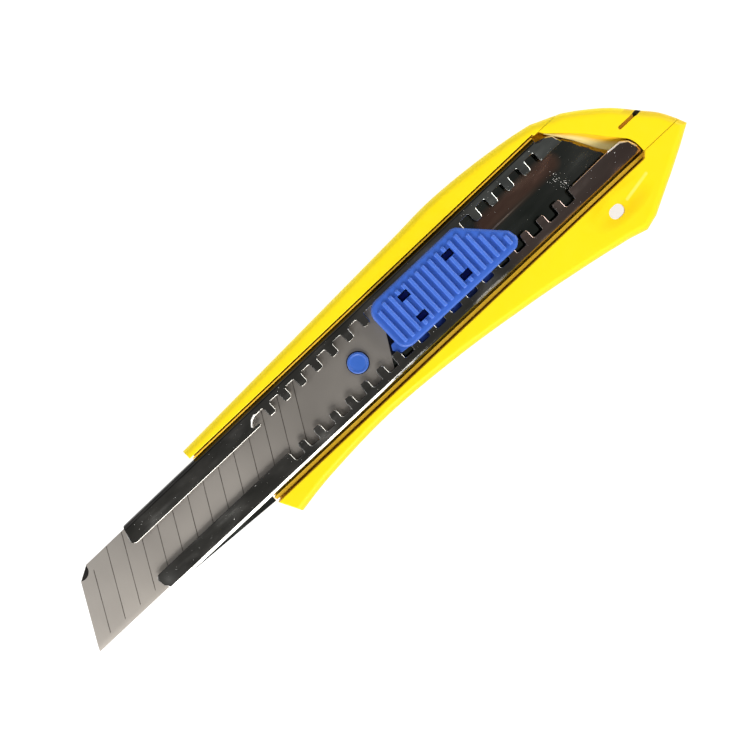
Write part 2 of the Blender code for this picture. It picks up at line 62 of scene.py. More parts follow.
# Rail, whose lips carry 17 notches on each side and one more in front
RAIL_HALF = 9.8
RAIL_BOTTOM = 8.6
RAIL_TOP = 12.8
LOWER_LIP_Y = -4.7
UPPER_LIP_Y = 4.55
LOWER_NOTCH_Y = -7.45
UPPER_NOTCH_Y = 7.3
FIRST_NOTCH_X = 76.65
NOTCH_HALF = 1.45
NOTCH_COUNT = 17
FOREMOST_NOTCH = (70.2, 73.0)
NOSE_X = 28.0

# Blade
SCORE_COUNT = 14
BLADE_SLANT = math.radians(60)
BLADE_LEAN = 1 / math.tan(BLADE_SLANT)
BLADE_TIP_X = 1.3
BLADE_EDGE_Y = -8.8
BLADE_SPINE_Y = 9.2
BLADE_BOTTOM = 11.0
BLADE_TOP = 11.5
BEVEL_WIDTH = 1.6
FIRST_SCORE = 4.45
BITE = (11.8, 9.1)

# Slider
STUD = (97.2, -0.5)
CARRIER_BOTTOM = 9.4
CARRIER_TOP = 12.0
POST_X = (116.4, 130.45)
POST_Y = (-2.6, 3.8)
PAD_BOTTOM = 13.3
PLATE_TOP = 15.5
RIB_TOP = 16.15
RIB_COUNT = 17
RIB_PITCH = 2.1


# ---------------------------------------------------------------- materials


class Surface:
    """A Principled material with small helpers for procedural detail, all in object coordinates."""

    def __init__(self, name, roughness=0.4, metallic=0.0, specular=0.5):
        self.material = bpy.data.materials.new(name)
        self.material.use_nodes = True
        self.tree = self.material.node_tree
        self.shader = self.tree.nodes["Principled BSDF"]
        self.shader.inputs["Roughness"].default_value = roughness
        self.shader.inputs["Metallic"].default_value = metallic
        self.shader.inputs["Specular IOR Level"].default_value = specular
        self.place = self.tree.nodes.new("ShaderNodeTexCoord")
        self.normal = None

    def noise(self, scale, stretch=(1, 1, 1), detail=4.0):
        mapping = self.tree.nodes.new("ShaderNodeMapping")
        mapping.inputs["Scale"].default_value = stretch
        self.tree.links.new(self.place.outputs["Object"], mapping.inputs["Vector"])
        texture = self.tree.nodes.new("ShaderNodeTexNoise")
        texture.inputs["Scale"].default_value = scale
        texture.inputs["Detail"].default_value = detail
        self.tree.links.new(mapping.outputs["Vector"], texture.inputs["Vector"])
        return texture.outputs["Fac"]

    def split(self, vector):
        node = self.tree.nodes.new("ShaderNodeSeparateXYZ")
        self.tree.links.new(vector, node.inputs[0])
        return node.outputs

    def axis(self, index):
        """One of the object's own coordinates, in metres."""
        return self.split(self.place.outputs["Object"])[index]

    def design(self):
        """The three coordinates in the design frame, in mm."""
        found = []
        for value, middle in zip(self.split(self.place.outputs["Object"]), CENTRE):
            found.append(self.plus(self.over(value, MM), middle))
        return found

    def between(self, value, start, end):
        """0 to 1 as a value goes from start to end."""
        node = self.tree.nodes.new("ShaderNodeMapRange")
        node.inputs["From Min"].default_value = start
        node.inputs["From Max"].default_value = end
        self.tree.links.new(value, node.inputs["Value"])
        return node.outputs["Result"]

    def clamped(self, value):
        node = self.tree.nodes.new("ShaderNodeClamp")
        self.tree.links.new(value, node.inputs["Value"])
        return node.outputs["Result"]

    def blot(self, centre, radius):
        """1 at a place in the design frame, falling to 0 a radius away."""
        place = (Vector(centre) - CENTRE) * MM
        node = self.tree.nodes.new("ShaderNodeVectorMath")
        node.operation = "DISTANCE"
        self.tree.links.new(self.place.outputs["Object"], node.inputs[0])
        node.inputs[1].default_value = place
        return self.clamped(self.less(1.0, self.over(node.outputs["Value"], radius)))

    def streak(self, start, end, width):
        """1 along a line between two places seen from above, falling softly to 0 beside it."""
        start, end = (Vector(start) - CENTRE.xy) * MM, (Vector(end) - CENTRE.xy) * MM
        length, along = (end - start).length, (end - start).normalized()
        x, y = self.less(self.axis(0), start.x), self.less(self.axis(1), start.y)
        run = self.plus(self.times(x, along.x), self.times(y, along.y))
        off = self.less(self.times(y, along.x), self.times(x, along.y))
        past = self.most(self.less(run, length), self.less(0.0, run))
        past = self.most(past, 0.0)
        away = self.sums("SQRT", self.plus(self.times(off, off), self.times(past, past)))
        fade = self.times(self.less(1.0, self.over(away, width)), 1.6)
        return self.clamped(fade)

    def sums(self, operation, first, second=0.0):
        node = self.tree.nodes.new("ShaderNodeMath")
        node.operation = operation
        for socket, value in zip(node.inputs, (first, second)):
            if isinstance(value, (int, float)):
                socket.default_value = value
            else:
                self.tree.links.new(value, socket)
        return node.outputs[0]

    def above(self, first, second):
        return self.sums("GREATER_THAN", first, second)

    def below(self, first, second):
        return self.sums("LESS_THAN", first, second)

    def most(self, first, second):
        return self.sums("MAXIMUM", first, second)

    def times(self, first, second):
        return self.sums("MULTIPLY", first, second)

    def less(self, first, second):
        return self.sums("SUBTRACT", first, second)

    def plus(self, first, second):
        return self.sums("ADD", first, second)

    def over(self, first, second):
        return self.sums("DIVIDE", first, second)

    def ramp(self, value, stops):
        node = self.tree.nodes.new("ShaderNodeValToRGB")
        elements = node.color_ramp.elements
        while len(elements) < len(stops):
            elements.new(0.5)
        for element, (position, colour) in zip(elements, stops):
            element.position = position
            element.color = (*colour, 1.0)
        self.tree.links.new(value, node.inputs["Fac"])
        return node.outputs["Color"]

    def mottled(self, noise, first, second, start=0.3, end=0.7):
        """One colour where a noise is low, another where it is high."""
        return self.ramp(noise, [(start, first), (end, second)])

    def colour(self, output):
        self.tree.links.new(output, self.shader.inputs["Base Color"])

    def mix(self, factor, first, second):
        node = self.tree.nodes.new("ShaderNodeMix")
        node.data_type = "RGBA"
        self.tree.links.new(factor, node.inputs[0])
        self.tree.links.new(first, node.inputs[6])
        self.tree.links.new(second, node.inputs[7])
        return node.outputs[2]

    def rough(self, value, low, high, start=0.3, end=0.7):
        node = self.tree.nodes.new("ShaderNodeMapRange")
        node.inputs["From Min"].default_value = start
        node.inputs["From Max"].default_value = end
        node.inputs["To Min"].default_value = low
        node.inputs["To Max"].default_value = high
        self.tree.links.new(value, node.inputs["Value"])
        self.tree.links.new(node.outputs["Result"], self.shader.inputs["Roughness"])
        return node.outputs["Result"]

    def bump(self, value, distance, strength=0.5):
        node = self.tree.nodes.new("ShaderNodeBump")
        node.inputs["Strength"].default_value = strength
        node.inputs["Distance"].default_value = distance
        self.tree.links.new(value, node.inputs["Height"])
        if self.normal is not None:
            self.tree.links.new(self.normal, node.inputs["Normal"])
        self.normal = node.outputs["Normal"]
        self.tree.links.new(self.normal, self.shader.inputs["Normal"])


def yellow_plastic():
    """Yellow plastic, with painted shade deeper in the trough and the snap slot."""
    s = Surface("yellow_plastic", 0.33, specular=0.22)
    s.shader.inputs["Coat Weight"].default_value = 0.05
    s.shader.inputs["Coat Roughness"].default_value = 0.12
    x, y, z = s.design()

    # The top, and the sides under its rounding: painted light on the +y side, painted shade on the -y side
    tone = s.mottled(s.noise(28, detail=3), (0.86, 0.640, 0.006), (0.90, 0.68, 0.009))
    painted_light_side = s.mottled(s.noise(40, detail=3), (0.94, 0.72, 0.006), (0.97, 0.75, 0.009))
    painted_shade_side = s.mottled(s.noise(40, detail=3), (0.72, 0.49, 0.004), (0.77, 0.525, 0.006))
    side = s.mix(s.below(y, 0.0), painted_light_side, painted_shade_side)
    tone = s.mix(s.between(z, HANDLE_TOP - 0.02, 13.2), tone, side)

    # Painted shade in the hollow round the hole, and a painted highlight streak behind it
    painted_hollow_shade = s.mottled(s.noise(40, detail=3), (0.87, 0.58, 0.004), (0.90, 0.615, 0.006))
    hollow = s.most(s.blot((164.4, -13.6, 13.8), 0.0058), s.blot((170.8, -13.3, 13.8), 0.0058))
    hollow = s.most(hollow, s.blot((169.0, -16.9, 13.6), 0.0022))
    tone = s.mix(s.clamped(s.times(hollow, 1.3)), tone, painted_hollow_shade)
    wear_and_sheen = s.mottled(s.noise(300), (0.89, 0.78, 0.15), (0.91, 0.82, 0.24))
    streak = s.streak((170.0, -15.8), (177.1, -14.35), 0.0005)
    tone = s.mix(s.times(streak, 0.45), tone, wear_and_sheen)

    # Painted shade: the trough's walls and the snap slot in a deeper tone, black at the slot's outer end
    painted_deep_shade = s.mottled(s.noise(60, detail=3), (0.80, 0.46, 0.03), (0.86, 0.54, 0.045))
    ahead = s.below(s.plus(x, s.times(y, 0.98)), 176.6)
    beside = s.times(s.above(x, 164.1), s.above(y, CAP_UPPER_Y + 0.03))
    inner = s.times(s.above(y, TROUGH_LOWER_Y - 0.3), s.below(y, TROUGH_UPPER_Y + 0.08))
    trough = s.times(s.less(inner, beside), ahead)
    from_slot = s.sums("ABSOLUTE", s.plus(y, -SNAP_SLOT_Y))
    slot = s.times(s.below(from_slot, 0.52), s.above(x, 179.0))
    mask = s.times(s.most(trough, slot), s.below(z, HANDLE_TOP - 0.25))
    tone = s.mix(mask, tone, painted_deep_shade)
    # Painted shade: near black at the snap slot's outer end
    painted_slot_shade = s.mottled(s.noise(500), (0.010, 0.008, 0.004), (0.05, 0.035, 0.01))
    outermost = s.above(s.plus(x, s.times(s.noise(1600), 1.2)), 184.7)
    tone = s.mix(s.times(s.times(slot, outermost), s.below(z, HANDLE_TOP - 0.05)), tone, painted_slot_shade)
    s.colour(tone)
    s.rough(s.noise(420, detail=5), 0.34, 0.48)
    s.bump(s.noise(2600, detail=3), 0.00002, 0.25)
    s.bump(s.noise(60, detail=2), 0.0002, 0.03)
    return s.material


def cream_plastic():
    """The cap's sloping front: the same yellow, painted pale at the foot as painted light and deeper orange
    under the edge as painted shade.
    """
    s = Surface("yellow_plastic_ramp", 0.4, specular=0.2)
    z = s.design()[2]
    pale = s.mottled(s.noise(60, detail=3), (0.93, 0.74, 0.28), (0.95, 0.79, 0.36))
    painted_deep_shade = s.mottled(s.noise(60, detail=3), (0.84, 0.45, 0.010), (0.88, 0.51, 0.016))
    s.colour(s.mix(s.between(z, 9.5, 10.9), pale, painted_deep_shade))
    s.rough(s.noise(420, detail=5), 0.36, 0.5)
    s.bump(s.noise(2600, detail=3), 0.00002, 0.25)
    return s.material


def amber_plastic():
    s = Surface("amber_plastic", 0.28, specular=0.6)
    tone = s.mottled(s.noise(90, (0.3, 1, 1)), (0.70, 0.42, 0.022), (0.82, 0.53, 0.045))
    s.colour(tone)
    s.rough(s.noise(500, (0.2, 1, 1)), 0.2, 0.4)
    s.bump(s.noise(1500, (0.2, 1, 1), 3), 0.00003, 0.3)
    return s.material


def blue_plastic(name, low, high, painted_light_above=None):
    """Blue plastic. The last argument, if given, is a height and two lighter tones for what stands above it:
    painted light above, painted shade in the darker tones below.
    """
    s = Surface(name, 0.4, specular=0.45)
    tone = s.mottled(s.noise(120, detail=3), low, high)
    if painted_light_above:
        height, light_low, light_high = painted_light_above
        light = s.mottled(s.noise(120, detail=3), light_low, light_high)
        tone = s.mix(s.between(s.design()[2], height, height + 0.35), tone, light)
    s.colour(tone)
    s.rough(s.noise(600, detail=4), 0.34, 0.5)
    s.bump(s.noise(3000, detail=3), 0.00002, 0.3)
    return s.material


# Edges of the sheet painted white as painted highlights, as lines in the design frame
PAINTED_EDGE_HIGHLIGHTS = [
    [(68.1, 5.9), (69.1, 7.0), (70.3, 7.5)],
    [(163.3, 8.9), (165.6, 8.35), (167.3, 7.2), (167.7, 6.0)],
    [(174.5, -4.6), (177.6, -4.8), (179.4, -6.0), (180.0, -8.0)],
]


def dark_chrome():
    """Chromed sheet: mottled faces, black outside its folds as a painted dark reflection, and darker on its
    floor as painted shade, with a painted brown reflection in a band there.
    """
    s = Surface("polished_steel", 0.1, 1.0)
    x, y, z = s.design()
    lower = s.below(y, 0.0)
    on_lip = s.above(z, 11.0)

    # The lips: greyer and brown behind the slider
    behind = s.between(x, 138.0, 144.0)
    front = s.ramp(
        s.noise(220, (0.5, 1, 1), 8),
        [(0.36, (0.34, 0.34, 0.32)), (0.60, (0.52, 0.51, 0.485)), (0.72, (0.80, 0.78, 0.74))],
    )
    grey = s.mottled(s.noise(240, (0.5, 1, 1), 8), (0.52, 0.56, 0.55), (0.90, 0.96, 0.94), 0.36, 0.66)
    brown = s.mottled(s.noise(160, (0.2, 1, 1), 5), (0.56, 0.41, 0.37), (0.70, 0.56, 0.51), 0.36, 0.66)
    steel = s.mix(behind, front, s.mix(lower, grey, brown))

    # The floor, darker than the lips as painted shade, with a painted brown reflection in a band, and a
    # scratch
    floor = s.mottled(s.noise(160, (0.3, 1, 1), 5), (0.18, 0.21, 0.19), (0.36, 0.38, 0.355), 0.36, 0.66)
    painted_brown_reflection = s.mottled(s.noise(200, (0.3, 1, 1), 5), (0.58, 0.33, 0.26), (0.90, 0.58, 0.44), 0.36, 0.66)
    floor = s.mix(s.streak((142.0, 2.7), (163.0, 2.7), 0.0030), floor, painted_brown_reflection)
    bright = s.mottled(s.noise(90), (0.90, 0.74, 0.60), (1.0, 0.86, 0.72))
    scratch = s.times(s.streak((141.0, 0.5), (157.0, 0.6), 0.00030), s.between(x, 157.0, 147.0))
    scratch = s.times(s.times(scratch, 0.5), s.below(z, 11.0))
    floor = s.mix(scratch, floor, bright)
    steel = s.mix(on_lip, floor, steel)

    # Pale specks, a pale patch at the nose, and painted highlights along edges of the sheet
    pale = s.mottled(s.noise(90), (0.90, 0.88, 0.84), (1, 1, 1))
    pale_nose_patch = s.blot((27.0, -7.4, 12.8), 0.0060)
    steel = s.mix(s.times(pale_nose_patch, 0.5), steel, pale)
    cluster = s.most(s.blot((161.4, -0.9, 9.0), 0.0027), s.blot((162.4, -3.4, 9.0), 0.0030))
    speck = s.less(0.745, s.times(cluster, 0.17))
    specks_and_highlights = s.above(s.noise(3000, detail=3), speck)
    for line in PAINTED_EDGE_HIGHLIGHTS:
        for start, end in zip(line, line[1:]):
            specks_and_highlights = s.most(specks_and_highlights, s.times(s.streak(start, end, 0.00042), on_lip))
    steel = s.mix(specks_and_highlights, steel, pale)

    # Painted dark reflection: black outside the folds and on the upper fold where it leans towards +y.
    # Painted shade: black on the lips' cut edges that face away from the light
    black = s.mottled(s.noise(90), (0.035, 0.035, 0.035), (0.07, 0.066, 0.062))
    start = s.less(12.64, s.times(lower, 0.44))
    fold = s.clamped(s.less(1.0, s.over(s.less(z, start), 0.16)))
    outer = s.above(s.sums("ABSOLUTE", y), 8.4)
    fold = s.times(s.times(fold, outer), s.above(z, 9.2))
    facing = s.split(s.place.outputs["Normal"])
    leaning = s.clamped(s.less(s.times(facing[1], 6.0), 0.5))
    fold = s.most(fold, s.times(leaning, s.above(y, 8.0)))
    towards_back = s.less(facing[1], s.times(s.most(facing[0], 0.0), 1.5))
    shaded = s.most(towards_back, s.less(0.0, facing[0]))
    shaded = s.clamped(s.less(s.times(shaded, 2.6), 0.3))
    rim = s.times(s.above(z, 12.3), s.below(x, 163.0))
    rim = s.times(rim, s.less(1.0, outer))
    s.colour(s.mix(s.most(fold, s.times(shaded, rim)), steel, black))

    # Duller where it is worn, and on the specks, the painted highlight lines, the scratch and the pale patch
    # at the nose
    wear_and_sheen = s.rough(s.noise(300, (0.3, 1, 1), 7), 0.06, 0.30, 0.42, 0.72)
    dull = s.most(s.most(specks_and_highlights, scratch), s.times(pale_nose_patch, 0.35))
    s.tree.links.new(s.most(wear_and_sheen, s.times(dull, 0.7)), s.shader.inputs["Roughness"])
    s.bump(s.noise(700, (0.15, 1, 1), 5), 0.00002, 0.22)
    s.bump(s.noise(35, detail=2), 0.0003, 0.08)
    return s.material


def ground_steel():
    """Ground blade steel with a dark line of painted shade in each score."""
    s = Surface("ground_steel", 0.42, 1.0)
    steel = s.mottled(s.noise(60, (1, 0.1, 1), 4), (0.50, 0.465, 0.425), (0.58, 0.54, 0.495))
    painted_score_shade = s.mottled(s.noise(400), (0.21, 0.19, 0.17), (0.31, 0.285, 0.26))
    x, y = s.axis(0), s.axis(1)
    across = s.less(x, s.times(y, BLADE_LEAN))
    first = (BLADE_TIP_X + FIRST_SCORE - BLADE_EDGE_Y * BLADE_LEAN - CENTRE.x + CENTRE.y * BLADE_LEAN) * MM
    steps = s.over(s.less(across, first - PITCH * MM / 2), PITCH * MM)
    off = s.sums("ABSOLUTE", s.less(s.sums("FRACT", steps, 0), 0.5))
    line = s.below(off, 0.025)
    line = s.times(line, s.below(steps, float(SCORE_COUNT)))
    line = s.times(line, s.above(y, (-7.1 - CENTRE.y) * MM))
    line = s.times(line, s.above(steps, 0.0))
    topmost = s.times(s.below(steps, 1.0), s.above(y, (7.0 - CENTRE.y) * MM))
    line = s.times(line, s.less(1.0, topmost))
    s.colour(s.mix(line, steel, painted_score_shade))
    s.rough(s.noise(24, detail=3), 0.38, 0.48)
    s.bump(s.noise(900, (1, 0.02, 1), 6), 0.000012, 0.3)
    return s.material


# Near black, for the piece in the blade's bite: painted shade standing for the dark seen through the notch
def painted_bite_shade():
    s = Surface("painted_bite_shade", 0.6, specular=0.1)
    s.colour(s.mottled(s.noise(900), (0.008, 0.008, 0.008), (0.022, 0.020, 0.018)))
    s.rough(s.noise(1500), 0.5, 0.8)
    s.bump(s.noise(3000), 0.00002, 0.4)
    return s.material


def spring_steel():
    """Blued spring steel."""
    s = Surface("spring_steel", 0.25, 1.0)
    s.colour(s.mottled(s.noise(200), (0.05, 0.09, 0.34), (0.08, 0.13, 0.42)))
    s.rough(s.noise(800, (1, 0.1, 1)), 0.18, 0.34)
    return s.material


def pale_floor():
    s = Surface("pale_floor", 0.9, specular=0.1)
    s.colour(s.mottled(s.noise(5, detail=3), (0.38, 0.38, 0.38), (0.42, 0.42, 0.42)))
    s.bump(s.noise(900), 0.00002, 0.1)
    s.shader.inputs["Emission Color"].default_value = (1, 1, 1, 1)
    s.shader.inputs["Emission Strength"].default_value = 0.8
    return s.material


YELLOW = yellow_plastic()
AMBER = amber_plastic()
CREAM = cream_plastic()
# Painted light: the thumb pad's ribs, above 15.6 mm, take lighter tones
BLUE = blue_plastic(
    "blue_plastic",
    (0.032, 0.108, 0.47),
    (0.040, 0.125, 0.53),
    (15.6, (0.050, 0.142, 0.56), (0.060, 0.162, 0.62)),
)
STUD_BLUE = blue_plastic("blue_plastic_stud", (0.030, 0.110, 0.45), (0.045, 0.140, 0.54))
# Painted shade: the carrier is darker than the pad, and near black below 10.8 mm
SHADED_BLUE = blue_plastic(
    "blue_plastic_inner",
    (0.001, 0.003, 0.015),
    (0.002, 0.006, 0.03),
    (10.8, (0.010, 0.038, 0.22), (0.015, 0.050, 0.28)),
)
CHROME = dark_chrome()
BLADE_STEEL = ground_steel()
BLACK = painted_bite_shade()
SPRING = spring_steel()
FLOOR = pale_floor()


# ---------------------------------------------------------------- shapes, in the design frame and in mm


def curve_point(a, b, c, d, t):
    """One coordinate of a smooth curve between b and c, with a before them and d after."""
    return 0.5 * (2 * b + (c - a) * t + (2 * a - 5 * b + 4 * c - d) * t * t + (3 * b - 3 * c + d - a) * t**3)


def curve_through(points, steps=10):
    """A smooth curve through some points, without the last of them."""
    ends = [points[0]] + list(points) + [points[-1]]
    found = []
    for around in zip(ends, ends[1:], ends[2:], ends[3:]):
        for step in range(steps):
            found.append(tuple(curve_point(*values, step / steps) for values in zip(*around)))
    return found


def corner_arc(before, here, after, radius, count=10):
    """Points round a circle's arc that rounds one corner, whichever way it turns."""
    here = Vector(here)
    arriving = (here - Vector(before)).normalized()
    leaving = (Vector(after) - here).normalized()
    turn = arriving.angle(leaving)
    side = 1 if arriving.x * leaving.y - arriving.y * leaving.x > 0 else -1
    centre = here + (leaving - arriving).normalized() * (radius / math.cos(turn / 2))
    heading = math.atan2(-arriving.x * side, arriving.y * side)
    angles = [heading + side * turn * i / count for i in range(count + 1)]
    return [(centre.x + radius * math.cos(a), centre.y + radius * math.sin(a)) for a in angles]


def rounded(points, radii, count=6):
    """A polygon with round corners. radii is one number or one for each corner."""
    if not isinstance(radii, (list, tuple)):
        radii = [radii] * len(points)
    found = []
    for i, point in enumerate(points):
        if radii[i] <= 0:
            found.append(tuple(point))
            continue
        here, before, after = Vector(point), Vector(points[i - 1]), Vector(points[(i + 1) % len(points)])
        turn = (here - before).angle(after - here)
        reach = radii[i] * math.tan(turn / 2)
        limit = 0.48 * min((here - before).length, (after - here).length)
        radius = radii[i] * min(1.0, limit / max(reach, 1e-9))
        if turn < 0.02:
            found.append(tuple(point))
            continue
        found += corner_arc(before, here, after, radius, count)
    return found


# The handle's outline
LOWER_EDGE = [
    (62.8, -17.5),
    (74.5, -15.8),
    (94.1, -14.7),
    (115.9, -15.9),
    (137.3, -18.5),
    (153.3, -21.1),
    (165.0, -23.4),
]
HEEL = [(168.9, -24.6), (172.7, -23.5)]
TAIL_EDGE = [(175.4, -22.0), (178.6, -20.3), (183.0, -17.9), (188.8, -14.6)]
TAIL_TIP = (192.3, -12.4)
REAR_EDGE = [(191.3, -10.0), (189.1, -6.1), (186.2, -2.7), (181.5, 2.6), (176.2, 6.9), (171.4, 10.1)]
UPPER_EDGE = [
    (165.2, 12.6),
    (158.2, 13.9),
    (146.4, 15.3),
    (134.8, 15.9),
    (122.9, 15.4),
    (98.9, 14.6),
    (74.7, 13.8),
    (51.6, 13.0),
]
FRONT_EDGE = [(51.6, 13.0), (51.6, 9.0), (59.8, -11.8), (62.8, -17.5)]


def handle_outline(steps=10):
    outline = curve_through(LOWER_EDGE, steps) + HEEL + curve_through(TAIL_EDGE, 4) + [TAIL_TIP]
    outline += curve_through(REAR_EDGE, 4) + curve_through(UPPER_EDGE, steps)
    return outline + FRONT_EDGE[:-1]


def inset(outline, distance, front_share):
    """An outline moved inwards, by less at the handle's front."""
    front = set(FRONT_EDGE)
    found = []
    for i, point in enumerate(outline):
        before, after = outline[i - 1], outline[(i + 1) % len(outline)]
        a = (Vector(point) - Vector(before)).normalized()
        b = (Vector(after) - Vector(point)).normalized()
        first, second = Vector((-a.y, a.x)), Vector((-b.y, b.x))
        near = distance * (front_share if {before, point} <= front else 1.0)
        far = distance * (front_share if {point, after} <= front else 1.0)
        cross = first.x * second.y - first.y * second.x
        if abs(cross) < 0.05:
            found.append(tuple(Vector(point) + (first * near + second * far) / 2))
        else:
            x = point[0] + (near * second.y - far * first.y) / cross
            found.append((x, point[1] + (far * first.x - near * second.x) / cross))
    return found


def rings_to_mesh(rings):
    """A closed mesh over rings of points, with a cap on the first and the last ring."""
    bm = bmesh.new()
    made = [[bm.verts.new(p) for p in ring] for ring in rings]
    for low, high in zip(made, made[1:]):
        for i in range(len(low)):
            j = (i + 1) % len(low)
            bm.faces.new((low[i], low[j], high[j], high[i]))
    bm.faces.new(list(reversed(made[0])))
    bm.faces.new(made[-1])
    bmesh.ops.recalc_face_normals(bm, faces=bm.faces)
    return bm


def loft(outline, profile, front_share=0.3):
    """A mesh over one outline. profile has heights, each with how far the outline is moved inwards."""
    return rings_to_mesh([[(x, y, z) for x, y in inset(outline, d, front_share)] for z, d in profile])


def prism(outline, low, high):
    return rings_to_mesh([[(x, y, low) for x, y in outline], [(x, y, high) for x, y in outline]])


def flared(outline, low, top, radius=0.22, steps=5):
    """A cutter that leaves a round edge of this radius round its mouth, at the height top."""
    profile = [(low, 0.0)]
    for i in range(steps + 1):
        t = math.pi / 2 * i / steps
        profile.append((top - radius * (1 - math.sin(t)), -radius * (1 - math.cos(t))))
    return loft(outline, profile + [(CLEAR, -radius)], 1.0)


def chamfered(outline, low, top, width, drop):
    """A cutter that leaves a sloping edge round its mouth, at the height top."""
    return loft(outline, [(low, 0.06), (top - drop, 0.06), (top, -width), (CLEAR, -width * 1.01)], 1.0)


def rectangle(x0, y0, x1, y1):
    return [(x0, y0), (x1, y0), (x1, y1), (x0, y1)]


def box(low, high):
    return prism(rectangle(low[0], low[1], high[0], high[1]), low[2], high[2])


def bar(section, start, end):
    """A section in y and z, drawn out along x."""
    return rings_to_mesh([[(x, y, z) for y, z in section] for x in (start, end)])


def merged(parts):
    """Several meshes in one."""
    bm = bmesh.new()
    for part in parts:
        mesh = bpy.data.meshes.new("part")
        part.to_mesh(mesh)
        part.free()
        bm.from_mesh(mesh)
        bpy.data.meshes.remove(mesh)
    return bm


def circle(x, y, radius, count=48):
    turns = [2 * math.pi * i / count for i in range(count)]
    return [(x + radius * math.cos(t), y + radius * math.sin(t)) for t in turns]


def slot_outline(x, y, length, width, count=12):
    """A slot with round ends, along x."""
    radius = width / 2
    reach = length / 2 - radius
    found = []
    for centre, start in ((x + reach, -math.pi / 2), (x - reach, math.pi / 2)):
        for i in range(count + 1):
            turn = start + math.pi * i / count
            found.append((centre + radius * math.cos(turn), y + radius * math.sin(turn)))
    return found


def piece(name, bm, material):
    """An object from a mesh drawn in the design frame, in mm."""
    for vertex in bm.verts:
        vertex.co = (vertex.co - CENTRE) * MM
    mesh = bpy.data.meshes.new(name)
    bm.to_mesh(mesh)
    bm.free()
    obj = bpy.data.objects.new(name, mesh)
    scene.collection.objects.link(obj)
    if material is not None:
        mesh.materials.append(material)
    return obj


def combine(obj, bm, operation="DIFFERENCE"):
    """Cuts a helper mesh out of an object, or joins it on, and keeps the result."""
    helper = piece("helper", bm, None)
    modifier = obj.modifiers.new("combine", "BOOLEAN")
    modifier.operation = operation
    modifier.solver = "EXACT"
    modifier.object = helper
    settle(obj)
    mesh = helper.data
    bpy.data.objects.remove(helper)
    bpy.data.meshes.remove(mesh)


def settle(obj):
    """Applies an object's modifiers."""
    graph = bpy.context.evaluated_depsgraph_get()
    mesh = bpy.data.meshes.new_from_object(obj.evaluated_get(graph))
    old = obj.data
    obj.modifiers.clear()
    obj.data = mesh
    bpy.data.meshes.remove(old)


def soften(obj, width, segments=2, angle=35):
    """Small rounded edges all over, then smooth shading."""
    bm = bmesh.new()
    bm.from_mesh(obj.data)
    bmesh.ops.remove_doubles(bm, verts=bm.verts, dist=0.000004)
    bmesh.ops.dissolve_limit(bm, angle_limit=math.radians(0.6), verts=bm.verts, edges=bm.edges)
    bm.to_mesh(obj.data)
    bm.free()
    if width > 0:
        modifier = obj.modifiers.new("edges", "BEVEL")
        modifier.width = width * MM
        modifier.segments = segments
        modifier.limit_method = "ANGLE"
        modifier.angle_limit = math.radians(angle)
        modifier.use_clamp_overlap = True
        modifier.miter_outer = "MITER_ARC"
        settle(obj)
    obj.data.shade_smooth()
    obj.data.set_sharp_from_angle(angle=math.radians(32))
    weighted = obj.modifiers.new("normals", "WEIGHTED_NORMAL")
    weighted.keep_sharp = True
    settle(obj)


def stand_in(obj, body, node):
    """Puts an object in a CAD node's place."""
    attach(obj, body)
    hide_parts(node)


def goes_with(obj, body):
    """Adds an object to a body, beside what replaces its nodes."""
    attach(obj, body)


# ---------------------------------------------------------------- handle


def shell_profile(bottom):
    """The sides of the upper shell and the cap, with a large rounding at the top."""
    rings = [(bottom, 0.1), (9.0, 0.0), (11.6, 0.0)]
    for i in range(1, 10):
        t = math.radians(10 * i)
        rings.append((11.6 + 2.4 * math.sin(t), 2.0 * (1 - math.cos(t))))
    return rings


def scoop():
    """A cutter for an oval hollow that starts level with the surface round it."""
    levels = [(0.97, CLEAR)]
    for i in range(25):
        reach = 0.97 - 0.039 * i
        levels.append((reach, HANDLE_TOP - HOLLOW_DEPTH * (1 - reach * reach) ** 2))
    oval = [(9.6 * x, 3.7 * y) for x, y in circle(0.0, 0.0, 1.0, 72)]
    middle_x, middle_y = 168.5, -16.2
    rings = []
    for reach, z in levels:
        rings.append([(middle_x + reach * x, middle_y + reach * y, z) for x, y in oval])
    return rings_to_mesh(rings)


def lanyard_hole():
    """A cutter for the hole in the heel, which leans and widens on its way down."""
    x, y = LANYARD_HOLE
    levels = [(-1.0, x + 1.9, y - 1.4, 6.2, 5.2), (12.0, x + 0.1, y - 0.1, 4.0, 3.1), (CLEAR, x, y, 3.8, 2.9)]
    return rings_to_mesh([[(px, py, z) for px, py in slot_outline(*slot)] for z, *slot in levels])


